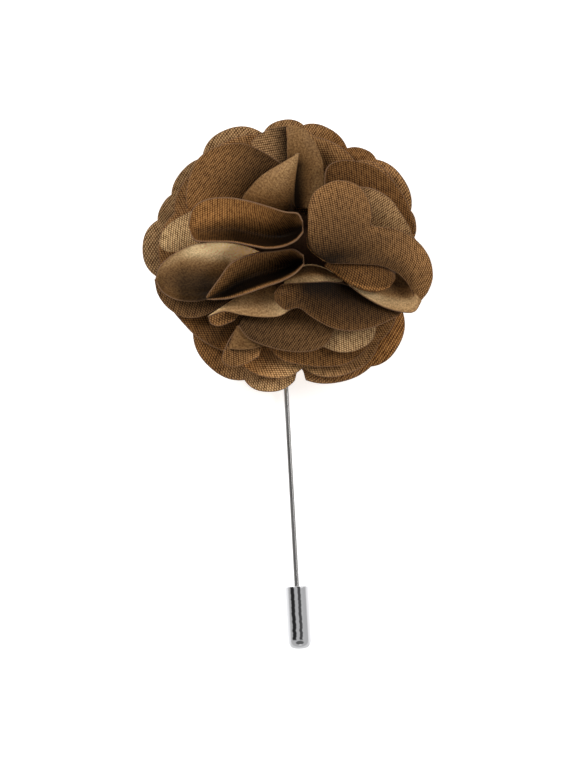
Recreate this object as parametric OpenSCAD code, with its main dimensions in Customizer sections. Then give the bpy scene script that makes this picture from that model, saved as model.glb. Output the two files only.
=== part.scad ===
// Flower lapel pin lying on its back: +Z is the flower's face, -Y the needle, mm.
// The back face of the backing lies on the floor at z = 0, centred on the needle's line.

/* [Flower] */
// Width of the flower over its scallops
flower_w = 50; // [48:0.5:56]
// Height of the flower over its backing
flower_h = 20; // [20:0.5:24]
// Wall of every cloth layer
cloth_t = 1; // [0.8:0.05:1.02]
// Distance of the sewn point from the needle's line
sewn_x = 3.55; // [0:0.05:6]
// Turn of the flower on the pin, in degrees
flower_turn = -3.1; // [-10:0.1:10]
// Radius of the hole sewn through the middle of the two discs
disc_hole_r = 3.6; // [3:0.1:5]
// Roundness of the scallops, 2 is an even arc
scallop_round = 2.6; // [1.5:0.1:5]
// How the discs curve up from their hole, 1 is straight
disc_cup = 1.2; // [1:0.1:2]

/* [Core] */
// Radius of the gathered head under the petals
core_head_r = 7; // [4:0.1:8]
// Height of the head
core_head_h = 3.5; // [2:0.1:3.6]
// Radius of the neck through the discs
core_neck_r = 2.8; // [2:0.1:3.2]

/* [Backing] */
// Radius of the felt backing
backing_r = 12; // [8:0.5:16]
// Thickness of the felt backing
backing_t = 4; // [3:0.1:5]

/* [Needle] */
// Radius of the needle's bare shaft
needle_r = 0.42; // [0.3:0.01:0.6]
// Radius of the needle inside the felt
needle_head_r = 0.62; // [0.6:0.01:0.8]
// How far the needle reaches into the backing past its centre
needle_head_y = 8; // [4:0.5:10]
// How far the needle reaches into the cap
needle_in_cap = 8.7; // [5:0.1:9]
// Radius of the needle's tip
needle_tip_r = 0.06; // [0.04:0.01:0.1]

/* [Cap] */
// Radius of the cap, which lies on the floor and so sets the needle's height
cap_r = 2.05; // [1.8:0.05:2.4]
// Length of the cap
cap_l = 10.9; // [8:0.1:14]
// Distance of the cap's open end from the backing's centre
cap_y = 58.2; // [50:0.1:70]
// Rounding of the cap's closed end
cap_round = 1.35; // [0.5:0.05:1.9]
// Rounding of the cap's open end
cap_rim = 0.25; // [0.1:0.05:0.5]

/* [Clearances] */
// Running clearance of the needle in the cap's bore
run_gap = 0.05; // [0.02:0.01:0.1]
// Gap round the needle in the felt
felt_gap = 0.02; // [0.01:0.01:0.1]
// Gap between the core's neck and the backing
seat_gap = 0.15; // [0.05:0.05:0.5]
// Gap between the backing and the back disc, and between the two discs, at their holes
disc_gap_back = 0.4; // [0.1:0.05:0.6]
disc_gap_front = 0.6; // [0.3:0.05:0.8]
// Gap between the front disc at its hole and the core's head
head_gap = 1.2; // [1.1:0.05:1.4]
// Gap between the needle's point and the end of the cap's bore
point_gap = 0.5; // [0.2:0.1:1]
// Gap between the end of the bare shaft and the cap
end_gap = 0.2; // [0.1:0.1:1]

/* [Hidden] */
$fa = 4;
$fs = 0.25;
// Steps round each lobe of a disc, and steps from its rim in
lobe_steps = 5;
disc_steps = 4;
disc_back_z = backing_t + disc_gap_back + cloth_t / 2;
disc_front_z = disc_back_z + disc_gap_front + cloth_t;
core_head_z = disc_front_z + cloth_t / 2 + head_gap;
// Radius of the ball whose cap is the core's head
core_ball_r = (pow(core_head_r, 2) + pow(core_head_h, 2)) / (2 * core_head_h);
needle_z = cap_r;
needle_point_y = cap_y + needle_in_cap;
cap_bore_l = needle_in_cap + point_gap;

// The tables give widths in fiftieths of flower_w. They give heights in twentieths of
// flower_h, counted so that the backing's top is at 4.
across_scale = flower_w / 50;
rise_scale = flower_h / 20;
function height(z) = backing_t + (z - 4) * rise_scale;

// Petals are sheets lofted through short tables, one row for each section, seen from the
// front with the sewn point at 0, 0:
// [rim x, rim y, rim z, lift of the middle, inner x, inner y, inner z, depth of the fold],
// where the last column is how far the inner edge folds down, if it does, or up, below 0.
petal_right_rows = [
  [1.65, 5.6, 21.2, 0.0, 1.7, 3.6, 21.4, 6.0],
  [1.75, 7.8, 21.2, 0.6, 1.6, 2.4, 22.0, 6.5],
  [3.0, 10.3, 21.0, 0.8, 1.8, 1.5, 22.2, 6.5],
  [6.5, 12.0, 20.4, 1.0, 2.3, 0.8, 22.2, 6.5],
  [10.0, 11.2, 19.5, 1.0, 3.1, 0.1, 22.0, 6.0],
  [11.9, 8.8, 18.8, 1.0, 4.0, -0.6, 21.6, 4.0],
  [12.5, 6.4, 18.6, 1.0, 4.8, -1.1, 21.2, 2.2],
  [12.6, 4.3, 18.4, 1.0, 5.9, -1.4, 20.6, 1.2],
  [16.8, 3.7, 16.9, 1.0, 8.0, -1.4, 19.6, 0.9],
  [20.2, 1.8, 15.3, 1.0, 11.0, -1.5, 18.2, 0.8],
  [22.4, -1.0, 13.9, 1.0, 14.4, -1.8, 16.8, 0.8],
  [23.1, -4.2, 13.1, 0.7, 17.3, -3.1, 15.2, 0.7],
  [22.4, -6.8, 13.0, 0.3, 19.2, -5.1, 14.2, 0.5],
  [21.2, -8.5, 12.9, 0.0, 20.0, -7.2, 13.4, 0.3]];

petal_right_tongue_rows = [
  [4.8, -1.7, 17.4, 0.1, 4.8, -2.1, 17.7, 0.6],
  [6.2, -1.7, 16.9, 0.5, 6.5, -3.3, 17.7, 0.9],
  [8.3, -1.5, 16.3, 0.8, 8.6, -4.9, 17.4, 0.7],
  [11.2, -1.4, 15.4, 1.1, 11.2, -6.2, 16.6, 0.5],
  [14.1, -1.8, 14.2, 1.1, 13.7, -6.6, 15.6, 0.4],
  [15.9, -2.6, 13.6, 0.8, 15.6, -6.0, 14.7, 0.4],
  [16.6, -3.7, 13.2, 0.3, 16.5, -4.9, 13.8, 0.3]];

petal_right_turn_rows = [
  [8.9, -5.6, 15.7, 0.0, 7.1, -3.0, 14.3],
  [11.7, -7.6, 14.7, -0.6, 8.8, -2.6, 13.6],
  [14.8, -9.4, 13.7, -0.9, 11.0, -2.4, 12.7],
  [17.8, -10.6, 12.7, -0.9, 13.6, -2.4, 11.8],
  [20.0, -10.5, 12.1, -0.7, 17.0, -2.6, 11.1],
  [20.8, -9.0, 11.7, -0.3, 20.0, -3.4, 10.8]];

petal_right_mid_rows = [
  [10.4, 11.0, 16.8, 0.3, 3.8, 5.4, 13.4],
  [13.0, 10.6, 16.3, 0.9, 4.6, 4.7, 13.2],
  [15.8, 8.9, 15.4, 1.2, 5.3, 3.9, 13.0],
  [17.8, 6.2, 14.3, 1.2, 5.9, 2.9, 12.8],
  [19.2, 3.9, 13.2, 1.0, 6.4, 1.7, 12.6],
  [20.0, 1.9, 12.0, 0.6, 6.7, 0.4, 12.4]];

petal_right_back_rows = [
  [4.4, 10.6, 14.6, 0.2, 3.2, 6.8, 11.8],
  [4.6, 13.7, 14.6, 0.6, 3.7, 6.6, 11.6],
  [5.8, 15.2, 14.2, 0.9, 4.3, 6.3, 11.5],
  [8.6, 15.7, 13.8, 1.2, 5.0, 5.8, 11.4],
  [12.7, 14.8, 13.3, 1.2, 5.8, 5.0, 11.3],
  [16.1, 12.3, 12.8, 1.2, 6.6, 4.0, 11.2],
  [18.5, 8.9, 12.1, 1.1, 7.2, 2.8, 11.1],
  [19.7, 5.8, 11.2, 1.0, 7.6, 1.5, 11.0],
  [20.2, 3.1, 10.4, 0.6, 7.8, 0.2, 10.9]];

petal_top_turn_rows = [
  [-2.0, 21.8, 12.5, 0.3, 0.7, 21.3, 12.5],
  [-2.1, 19.2, 12.8, 0.5, 2.6, 19.0, 12.2],
  [-2.1, 16.5, 12.8, 0.3, 3.9, 16.1, 11.8],
  [-1.9, 13.7, 12.3, -0.2, 4.3, 13.2, 11.2],
  [-1.4, 10.6, 11.3, -0.4, 4.0, 10.2, 10.6],
  [-0.7, 7.5, 10.3, -0.3, 2.6, 7.4, 10.0]];

petal_top_rows = [
  [-8.4, 18.9, 11.0, 0.2, -3.4, 7.8, 9.7],
  [-6.9, 20.2, 10.9, 0.4, -2.8, 7.9, 9.7],
  [-4.8, 21.3, 10.8, 0.4, -2.2, 8.0, 9.6],
  [-2.3, 21.7, 10.6, 0.2, -1.6, 8.1, 9.5]];

petal_spike_rows = [
  [-0.6, 16.4, 20.2, 0.0, -0.1, 16.7, 20.2, 2.0],
  [-2.7, 15.1, 19.0, 0.4, -0.3, 15.1, 19.8, 3.0],
  [-6.2, 13.0, 17.6, 0.9, -0.6, 12.7, 18.8, 4.0],
  [-8.4, 10.8, 16.4, 1.1, -0.8, 10.3, 17.6, 4.2],
  [-9.7, 8.9, 15.5, 1.0, -0.9, 7.9, 16.0, 3.2],
  [-9.2, 6.4, 14.2, 0.6, -1.2, 5.6, 14.0, 1.0],
  [-7.4, 4.4, 13.2, 0.2, -2.4, 4.0, 12.9, 0.3]];

petal_upper_left_rows = [
  [-19.3, 6.2, 12.6, 0.2, -8.6, 2.6, 11.9],
  [-19.6, 9.3, 13.0, 0.8, -8.0, 3.3, 11.8],
  [-19.0, 12.7, 13.3, 1.2, -7.3, 3.9, 11.8],
  [-17.4, 16.0, 13.6, 1.4, -6.7, 4.4, 11.7],
  [-14.1, 18.1, 13.8, 1.5, -6.0, 4.9, 11.6],
  [-9.9, 18.6, 13.8, 1.4, -5.2, 5.5, 11.5],
  [-6.5, 17.3, 14.0, 1.0, -4.3, 6.2, 11.4],
  [-3.3, 15.3, 14.2, 0.5, -3.2, 7.0, 11.3]];

petal_left_small_rows = [
  [-18.7, 6.9, 14.4, 0.3, -10.4, 4.4, 14.0],
  [-21.6, 5.3, 14.0, 0.6, -10.4, 4.0, 14.0],
  [-23.5, 3.6, 13.6, 0.8, -10.4, 3.5, 14.0],
  [-24.2, 1.5, 13.1, 0.8, -10.4, 3.0, 14.0],
  [-23.3, 0.1, 12.7, 0.6, -10.4, 2.5, 13.9],
  [-21.1, -0.2, 12.7, 0.2, -10.4, 2.1, 13.8]];

petal_upper_scoop_rows = [
  [-19.1, 4.3, 17.0, -0.2, -18.7, 3.0, 16.9, -0.3],
  [-18.3, 7.2, 17.5, -1.4, -17.6, 1.9, 17.6, -0.5],
  [-16.2, 8.7, 18.5, -2.6, -14.4, 1.8, 18.6, -0.7],
  [-12.6, 9.1, 19.5, -3.6, -11.4, 1.7, 19.5, -0.9],
  [-8.8, 8.5, 20.3, -5.0, -8.4, 1.1, 20.4, -1.1],
  [-5.3, 7.5, 21.0, -5.8, -5.6, 0.6, 21.5, -1.2],
  [-2.5, 6.6, 21.6, -5.8, -2.8, 0.9, 22.1, -1.2],
  [-0.3, 6.3, 22.2, -4.2, -0.6, 1.9, 22.5, -1.0],
  [0.55, 5.0, 22.9, -1.2, 0.65, 3.3, 22.9, -0.5]];

petal_left_scoop_rows = [
  [-24.9, -4.8, 13.4, -0.1, -24.4, -5.9, 13.2],
  [-24.0, -2.6, 14.4, -1.0, -23.4, -7.3, 12.9],
  [-21.4, -0.4, 15.2, -1.3, -21.0, -8.5, 12.6],
  [-17.6, 1.2, 16.0, -1.4, -17.4, -8.7, 12.4],
  [-13.2, 1.5, 15.6, -1.1, -13.6, -7.6, 12.3],
  [-9.3, 0.9, 14.8, -0.8, -9.9, -5.8, 12.0],
  [-6.5, -0.2, 14.4, -0.6, -7.2, -4.1, 11.4]];

petal_left_under_rows = [
  [-25.1, -4.9, 10.3, 0.0, -9.5, -1.4, 9.9],
  [-24.5, -7.5, 10.2, 0.3, -9.1, -2.1, 9.9],
  [-22.8, -9.8, 10.1, 0.4, -8.7, -2.8, 9.9],
  [-20.2, -11.4, 10.1, 0.4, -8.3, -3.4, 9.9],
  [-17.2, -11.4, 10.4, 0.4, -7.9, -4.0, 9.9],
  [-14.4, -10.1, 10.6, 0.3, -7.5, -4.6, 9.9],
  [-12.3, -8.4, 10.6, 0.1, -7.1, -5.2, 9.9]];

petal_pocket_rows = [
  [-16.1, -8.0, 15.5, 0.0, -15.8, -8.5, 15.4],
  [-13.9, -5.0, 16.9, -2.2, -12.3, -8.3, 16.8],
  [-11.6, -2.1, 17.6, -3.8, -9.3, -7.5, 18.2],
  [-7.8, -0.5, 17.4, -4.6, -6.2, -6.4, 19.4],
  [-4.2, -0.1, 17.8, -5.8, -3.0, -5.3, 20.4],
  [-1.2, 0.2, 19.4, -6.2, -0.7, -4.0, 21.0],
  [0.7, -0.9, 20.9, -2.2, 0.8, -2.5, 21.2]];

petal_lower_turn_rows = [
  [-15.3, -11.7, 14.0, 0.0, -8.6, -6.6, 13.0],
  [-12.7, -10.7, 14.5, 0.3, -7.6, -6.0, 13.0],
  [-9.9, -11.1, 15.0, 0.6, -6.4, -5.4, 12.9],
  [-6.5, -11.5, 15.5, 0.8, -4.9, -4.7, 12.8],
  [-3.4, -11.3, 16.0, 0.8, -3.2, -4.2, 12.7],
  [-1.0, -9.9, 16.0, 0.6, -1.4, -3.9, 12.6]];

petal_lower_small_rows = [
  [-15.7, -11.5, 12.5, 0.1, -9.6, -7.6, 11.4],
  [-15.3, -12.6, 12.5, 0.3, -9.2, -7.9, 11.4],
  [-13.7, -13.0, 12.6, 0.3, -8.8, -8.2, 11.4],
  [-11.3, -12.1, 12.7, 0.1, -8.3, -8.4, 11.4]];

petal_lower_right_rows = [
  [-4.3, -7.4, 18.3, 0.1, -4.1, -8.8, 18.2],
  [-2.9, -5.9, 18.6, 1.0, -2.4, -10.2, 18.0],
  [-0.3, -5.6, 18.6, 1.2, 0.0, -9.9, 17.6],
  [2.4, -5.4, 18.2, 0.8, 2.4, -11.6, 16.8],
  [5.6, -5.3, 16.4, 0.3, 5.8, -13.4, 16.0],
  [8.6, -6.0, 13.4, 0.4, 9.3, -13.9, 14.8],
  [12.0, -7.6, 11.9, 0.4, 13.0, -13.2, 13.4],
  [15.8, -9.0, 10.8, 0.2, 16.5, -11.6, 11.6],
  [17.2, -9.8, 10.4, 0.0, 17.8, -10.6, 10.6]];

petal_lower_strip_rows = [
  [-2.2, -4.8, 14.6, 0.3, -2.8, -6.5, 16.8],
  [-0.5, -4.2, 14.2, 0.3, -0.7, -6.2, 16.8],
  [1.6, -4.0, 13.8, 0.3, 1.9, -5.9, 16.6],
  [4.6, -4.4, 13.2, 0.2, 4.9, -5.7, 15.0],
  [7.4, -4.9, 12.8, 0.1, 7.6, -5.5, 13.6]];

petal_bottom_front_rows = [
  [-10.6, -13.0, 13.2, 0.1, -6.6, -7.0, 11.4],
  [-8.6, -15.3, 13.4, 0.6, -4.8, -6.9, 11.3],
  [-4.8, -16.8, 13.6, 0.9, -2.8, -6.8, 11.2],
  [-1.0, -17.5, 13.7, 1.0, -0.8, -6.8, 11.2],
  [2.4, -17.3, 13.6, 1.0, 1.2, -6.8, 11.2],
  [4.9, -16.0, 13.4, 0.7, 3.2, -6.6, 11.2],
  [6.1, -13.6, 13.2, 0.2, 4.8, -6.4, 11.2]];

petal_bottom_light_rows = [
  [3.2, -16.2, 12.0, 0.1, 5.0, -9.6, 11.0],
  [6.2, -17.4, 12.0, 0.4, 5.8, -9.3, 11.0],
  [8.9, -17.5, 12.0, 0.6, 6.6, -8.9, 11.0],
  [11.5, -16.5, 11.9, 0.5, 7.4, -8.4, 11.0],
  [13.0, -14.9, 11.8, 0.3, 8.2, -7.8, 11.0],
  [13.4, -12.7, 11.6, 0.1, 8.9, -7.1, 11.0]];

petal_bottom_mid_rows = [
  [-5.6, -16.2, 9.9, 0.1, -3.4, -8.4, 9.5],
  [-3.1, -18.8, 10.5, 0.4, -2.0, -8.6, 9.6],
  [0.7, -19.8, 10.4, 0.5, -0.2, -8.7, 9.6],
  [4.5, -20.1, 10.4, 0.5, 1.8, -8.7, 9.6],
  [8.2, -19.6, 10.3, 0.5, 3.8, -8.4, 9.6],
  [11.0, -17.7, 10.3, 0.3, 5.6, -7.8, 9.6],
  [12.7, -15.2, 10.2, 0.1, 7.2, -7.0, 9.6]];

petal_bottom_fold_rows = [
  [-12.2, -15.6, 11.8, 0.0, -8.6, -8.9, 10.2],
  [-13.4, -18.6, 11.6, 0.7, -7.6, -9.4, 10.3],
  [-12.2, -20.0, 11.4, 1.0, -6.6, -9.9, 10.3],
  [-9.6, -19.7, 11.4, 0.9, -5.6, -10.3, 10.3],
  [-7.0, -18.3, 11.8, 0.4, -4.6, -10.6, 10.6]];

// Discs are whole scalloped rounds, one row for each lobe, from the notch that starts it:
// [notch azimuth in degrees, notch reach, notch z, lobe reach, lobe z]
disc_back_rows = [
  [7, 20.2, 6.4, 20.9, 6.8],
  [20, 20.7, 6.2, 22.1, 7.2],
  [50, 20.9, 6.2, 21.1, 6.8],
  [65, 19.8, 6.3, 22.0, 7.3],
  [88, 22.0, 6.6, 23.0, 7.4],
  [107, 21.5, 6.2, 24.7, 7.6],
  [136, 23.4, 6.4, 24.7, 7.4],
  [156, 24.3, 6.3, 25.2, 7.0],
  [167.5, 25.2, 6.2, 27.2, 7.6],
  [190, 25.2, 6.3, 24.4, 6.8],
  [217, 23.1, 6.2, 25.4, 7.3],
  [247, 24.3, 6.3, 25.0, 7.4],
  [268, 22.5, 6.8, 20.4, 6.6],
  [273, 22.4, 6.8, 23.8, 7.3],
  [302, 23.6, 6.3, 23.9, 7.2],
  [330, 20.8, 6.3, 21.5, 7.0]];

disc_front_rows = [
  [3, 18.8, 8.4, 20.2, 9.2],
  [30, 19.3, 8.2, 20.6, 9.0],
  [58, 18.4, 8.2, 19.6, 9.0],
  [82, 20.0, 8.4, 21.4, 9.2],
  [104, 20.2, 8.2, 22.8, 9.2],
  [140, 22.4, 8.2, 23.4, 9.0],
  [163, 22.6, 8.2, 24.4, 8.8],
  [192, 23.2, 8.2, 23.9, 8.8],
  [213, 23.6, 8.2, 22.6, 8.8],
  [238, 21.0, 8.2, 22.6, 9.0],
  [272, 20.2, 8.2, 22.9, 9.0],
  [312, 20.8, 8.2, 20.6, 8.8],
  [335, 18.6, 8.2, 19.4, 9.0]];

// Smooth curve through points p, with n steps from each point to the next.
function bend(a, b, c, d, t) =
  0.5 * (2 * b + (c - a) * t + (2 * a - 5 * b + 4 * c - d) * t * t + (3 * b - a - 3 * c + d) * t * t * t);
function before(p, i) = i > 0 ? p[i - 1] : 2 * p[0] - p[1];
function after(p, i) = i + 2 < len(p) ? p[i + 2] : 2 * p[i + 1] - p[i];
function curve(p, n) = concat(
  [for (i = [0:len(p) - 2], k = [0:n - 1]) bend(before(p, i), p[i], p[i + 1], after(p, i), k / n)],
  [p[len(p) - 1]]);

// Controls of one section: rim, middle, inner edge and, where it folds down, its root.
function place(x, y, z) = [x * across_scale, y * across_scale, height(z)];
function rim(r) = place(r[0], r[1], r[2]);
function inner(r) = place(r[4], r[5], r[6]);
function section(r, way, bend_at) = concat(
  [rim(r), rim(r) + bend_at * (inner(r) - rim(r)) + [0, 0, r[3] * rise_scale], inner(r)],
  len(r) > 7 ? [inner(r) + [way[0] * across_scale, way[1] * across_scale, -r[7] * rise_scale]] : []);

// Middle surface of a petal, its sections running from the rim inwards.
function petal_grid(rows, way, bend_at, along, across) =
  let (s = [for (r = rows) section(r, way, bend_at)],
       lines = [for (j = [0:len(s[0]) - 1]) curve([for (q = s) q[j]], along)])
  [for (i = [0:len(lines[0]) - 1]) curve([for (l = lines) l[i]], across)];

// Middle surface of a disc, one section for each step round it.
function disc_grid(rows, z0) =
  [for (i = [0:len(rows) - 1], k = [0:lobe_steps - 1])
    let (a = rows[i], b = rows[(i + 1) % len(rows)], s = k / lobe_steps,
         az = a[0] + s * (b[0] + (b[0] > a[0] ? 0 : 360) - a[0]),
         swell = 1 - pow(abs(2 * s - 1), scallop_round),
         reach = across_scale * (a[1] + s * (b[1] - a[1]) + swell * (a[3] - (a[1] + b[1]) / 2)),
         z = height(a[2] + s * (b[2] - a[2]) + pow(sin(180 * s), 2) * (a[4] - (a[2] + b[2]) / 2)))
    [for (j = [0:disc_steps])
      let (t = 1 - j / disc_steps, d = disc_hole_r + t * (reach - disc_hole_r))
      [d * cos(az), d * sin(az), z0 + (z - z0) * pow(t, disc_cup)]]];

function unit(v) = v / norm(v);
function at(g, i, closed) = closed ? g[(i + len(g)) % len(g)] : g[max(0, min(len(g) - 1, i))];
function normals(g, closed) =
  [for (i = [0:len(g) - 1])
    [for (j = [0:len(g[0]) - 1])
      unit(cross(
        at(g, i + 1, closed)[j] - at(g, i - 1, closed)[j],
        g[i][min(len(g[0]) - 1, j + 1)] - g[i][max(0, j - 1)]))]];

// Closed wall of thickness t round the middle surface g.
module sheet(g, closed = false, t = cloth_t) {
  n = normals(g, closed);
  m = len(g);
  w = len(g[0]);
  up = n[floor(m / 2)][floor(w / 3)][2] > 0 ? 1 : -1;
  points = [for (side = [up, -up], i = [0:m - 1], j = [0:w - 1]) g[i][j] + n[i][j] * side * t / 2];
  steps = closed ? m - 1 : m - 2;
  function id(side, i, j) = side * m * w + (i % m) * w + j;
  function quad(a, b, c, d) = up > 0 ? [[a, b, c], [a, c, d]] : [[c, b, a], [d, c, a]];
  skins = [for (i = [0:steps], j = [0:w - 2]) each concat(
    quad(id(0, i, j), id(0, i, j + 1), id(0, i + 1, j + 1), id(0, i + 1, j)),
    quad(id(1, i, j), id(1, i + 1, j), id(1, i + 1, j + 1), id(1, i, j + 1)))];
  edges = [for (i = [0:steps]) each concat(
    quad(id(0, i, 0), id(0, i + 1, 0), id(1, i + 1, 0), id(1, i, 0)),
    quad(id(0, i, w - 1), id(1, i, w - 1), id(1, i + 1, w - 1), id(0, i + 1, w - 1)))];
  ends = closed ? [] : [for (j = [0:w - 2]) each concat(
    quad(id(0, 0, j), id(1, 0, j), id(1, 0, j + 1), id(0, 0, j + 1)),
    quad(id(0, m - 1, j), id(0, m - 1, j + 1), id(1, m - 1, j + 1), id(1, m - 1, j)))];
  polyhedron(points, concat(skins, edges, ends));
}

module on_flower() translate([sewn_x, 0, 0]) rotate([0, 0, flower_turn]) children();

// One petal; face is true where the woven face of the cloth shows, way is the sideways step
// of a fold, and bend_at is how far in from the rim the middle lies.
module petal(rows, face = true, way = [0, 0], bend_at = 0.5, along = 2, across = 4)
  color(face ? "#8a5a2c" : "#c4a36c")
    on_flower() sheet(petal_grid(rows, way, bend_at, along, across));

module disc(rows, z0)
  color("#7a4e26") on_flower() sheet(disc_grid(rows, z0), closed = true);

module disc_back() disc(disc_back_rows, disc_back_z);
module disc_front() disc(disc_front_rows, disc_front_z);
module petal_right() petal(petal_right_rows, way = [-0.2, -0.8], across = 3);
module petal_right_tongue() petal(petal_right_tongue_rows, way = [-0.5, -0.5], across = 3);
module petal_right_turn() petal(petal_right_turn_rows, face = false, across = 3);
module petal_right_mid() petal(petal_right_mid_rows, across = 3);
module petal_right_back() petal(petal_right_back_rows, across = 3);
module petal_top_turn() petal(petal_top_turn_rows, face = false, across = 3);
module petal_top() petal(petal_top_rows, across = 3);
module petal_spike() petal(petal_spike_rows, face = false, way = [0.3, 0], across = 3);
module petal_upper_left() petal(petal_upper_left_rows, across = 3);
module petal_left_small() petal(petal_left_small_rows, across = 3);
module petal_upper_scoop() petal(petal_upper_scoop_rows, way = [0, -0.3], bend_at = 0.72, across = 3);
module petal_left_scoop() petal(petal_left_scoop_rows, face = false, bend_at = 0.75);
module petal_left_under() petal(petal_left_under_rows, across = 3);
module petal_pocket() petal(petal_pocket_rows, bend_at = 0.6);
module petal_lower_turn() petal(petal_lower_turn_rows, face = false, across = 3);
module petal_lower_small() petal(petal_lower_small_rows, across = 3);
module petal_lower_right() petal(petal_lower_right_rows);
module petal_lower_strip() petal(petal_lower_strip_rows, face = false, across = 3);
module petal_bottom_front() petal(petal_bottom_front_rows, across = 3);
module petal_bottom_light() petal(petal_bottom_light_rows, across = 3);
module petal_bottom_mid() petal(petal_bottom_mid_rows, across = 3);
module petal_bottom_fold() petal(petal_bottom_fold_rows, across = 3);

// Gathered and sewn middle of the flower, a plain turned form.
module core()
  color("#5c3a1c") translate([sewn_x, 0, 0])
    rotate_extrude() {
      translate([0, backing_t + seat_gap]) square([core_neck_r, core_head_z - backing_t]);
      intersection() {
        translate([0, core_head_z + core_head_h - core_ball_r]) circle(r = core_ball_r);
        translate([0, core_head_z]) square([core_head_r, core_head_h]);
      }
    }

module backing()
  color("#3c2a1a") difference() {
    cylinder(r = backing_r, h = backing_t);
    translate([0, needle_head_y + felt_gap, needle_z]) rotate([90, 0, 0])
      cylinder(r = needle_head_r + felt_gap, h = backing_r + needle_head_y + 1);
  }

// Steel needle: thicker where the felt holds it, ground to a long point inside the cap.
module needle()
  color("#8f9094") translate([0, 0, needle_z]) rotate([90, 0, 0])
    rotate_extrude() polygon([
      [0, -needle_head_y], [needle_head_r, -needle_head_y],
      [needle_head_r, backing_r], [needle_r, backing_r],
      [needle_r, cap_y - end_gap], [needle_tip_r, needle_point_y], [0, needle_point_y]]);

// Chrome cap: a turned barrel with a blind bore, rounded at its closed end.
module cap()
  color("#d5d7da") translate([0, -cap_y, needle_z]) rotate([90, 0, 0])
    rotate_extrude() difference() {
      union() {
        translate([0, cap_rim]) square([cap_r, cap_l - cap_rim - cap_round]);
        square([cap_r - cap_rim, cap_l - cap_round]);
        square([cap_r - cap_round, cap_l]);
        translate([cap_r - cap_rim, cap_rim]) circle(r = cap_rim);
        translate([cap_r - cap_round, cap_l - cap_round]) intersection() {
          circle(r = cap_round);
          square(cap_round);
        }
      }
      translate([-1, -1]) square([needle_r + run_gap + 1, cap_bore_l + 1]);
    }

backing();
needle();
cap();
core();
disc_back();
disc_front();
petal_right();
petal_right_tongue();
petal_right_turn();
petal_right_mid();
petal_right_back();
petal_top_turn();
petal_top();
petal_spike();
petal_upper_left();
petal_left_small();
petal_upper_scoop();
petal_left_scoop();
petal_left_under();
petal_pocket();
petal_lower_turn();
petal_lower_small();
petal_lower_right();
petal_lower_strip();
petal_bottom_front();
petal_bottom_light();
petal_bottom_mid();
petal_bottom_fold();
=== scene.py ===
import math

import bpy
import numpy as np
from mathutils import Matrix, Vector


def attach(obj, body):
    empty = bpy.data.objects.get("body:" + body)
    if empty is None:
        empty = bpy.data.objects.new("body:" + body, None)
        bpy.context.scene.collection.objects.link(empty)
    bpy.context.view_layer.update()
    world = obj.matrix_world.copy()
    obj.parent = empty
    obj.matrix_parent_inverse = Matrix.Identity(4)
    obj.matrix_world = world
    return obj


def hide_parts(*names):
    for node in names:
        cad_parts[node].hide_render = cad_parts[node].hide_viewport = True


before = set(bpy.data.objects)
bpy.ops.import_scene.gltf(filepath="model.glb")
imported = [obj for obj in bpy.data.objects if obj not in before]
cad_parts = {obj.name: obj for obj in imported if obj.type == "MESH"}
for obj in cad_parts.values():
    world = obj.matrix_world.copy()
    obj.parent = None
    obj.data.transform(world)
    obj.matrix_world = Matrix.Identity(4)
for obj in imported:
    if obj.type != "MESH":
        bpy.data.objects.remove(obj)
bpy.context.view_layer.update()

MM = 0.001

# The pin lies on its back on a plain white table, seen from straight above and far away.
# The flower is turned by a few degrees on its pin. The camera is turned with it, so that the
# flower stands straight in the picture and the needle runs down it with a slight slant.
flower_turn = math.radians(-3.1)
middle_x = 0.38 * MM
middle_y = -22.9 * MM
camera_height = 1.508
camera_data = bpy.data.cameras.new("camera")
camera_data.lens = 405
camera_data.sensor_width = 36
camera_data.clip_end = 10
camera = bpy.data.objects.new("camera", camera_data)
camera.location = (middle_x, middle_y, camera_height)
camera.rotation_euler = (0, 0, flower_turn)
bpy.context.scene.collection.objects.link(camera)
bpy.context.scene.camera = camera
bpy.context.scene.view_settings.view_transform = "Standard"


class Shade:
    """One value or colour of a material: arithmetic on it adds Math nodes."""

    def __init__(self, tree, socket=None):
        self.tree = tree
        self.socket = socket

    def node(self, kind, inputs=None, output=0, **settings):
        """Adds a node of any kind: first its settings, then what its sockets get."""
        made = self.tree.nodes.new(kind)
        for key, value in settings.items():
            setattr(made, key, value)
        for key, value in (inputs or {}).items():
            self.give(made.inputs[key], value)
        return Shade(self.tree, made.outputs[output])

    def give(self, socket, value):
        if isinstance(value, Shade):
            self.tree.links.new(value.socket, socket)
        else:
            socket.default_value = value

    def maths(self, operation, *values):
        return self.node("ShaderNodeMath", dict(enumerate(values)), operation=operation)

    def __add__(self, other):
        return self.maths("ADD", self, other)

    def __sub__(self, other):
        return self.maths("SUBTRACT", self, other)

    def __rsub__(self, other):
        return self.maths("SUBTRACT", other, self)

    def __mul__(self, other):
        return self.maths("MULTIPLY", self, other)

    __radd__ = __add__
    __rmul__ = __mul__

    def sine(self):
        return self.maths("SINE", self)

    def size(self):
        return self.maths("ABSOLUTE", self)

    def ramp(self, low, high, to_low=0.0, to_high=1.0):
        """Smooth step from low to high."""
        return self.node(
            "ShaderNodeMapRange",
            {0: self, 1: low, 2: high, 3: to_low, 4: to_high},
            interpolation_type="SMOOTHSTEP",
        )

    def blend(self, colour_a, colour_b):
        """colour_a where this value is 0, colour_b where it is 1."""
        return self.node("ShaderNodeMix", {0: self, 6: colour_a, 7: colour_b}, 2, data_type="RGBA")

    def times_colour(self, colour):
        """The colour scaled by this value."""
        return self.node("ShaderNodeVectorMath", {0: colour, 3: self}, operation="SCALE")

    def stretched(self, where, scale):
        """The places where, stretched by the scale of each axis."""
        return self.node("ShaderNodeMapping", {"Vector": where, "Scale": scale})

    def noise(self, where, scale, detail=2.0, roughness=0.5):
        return self.node(
            "ShaderNodeTexNoise",
            {"Vector": where, "Scale": scale, "Detail": detail, "Roughness": roughness},
        )


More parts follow.
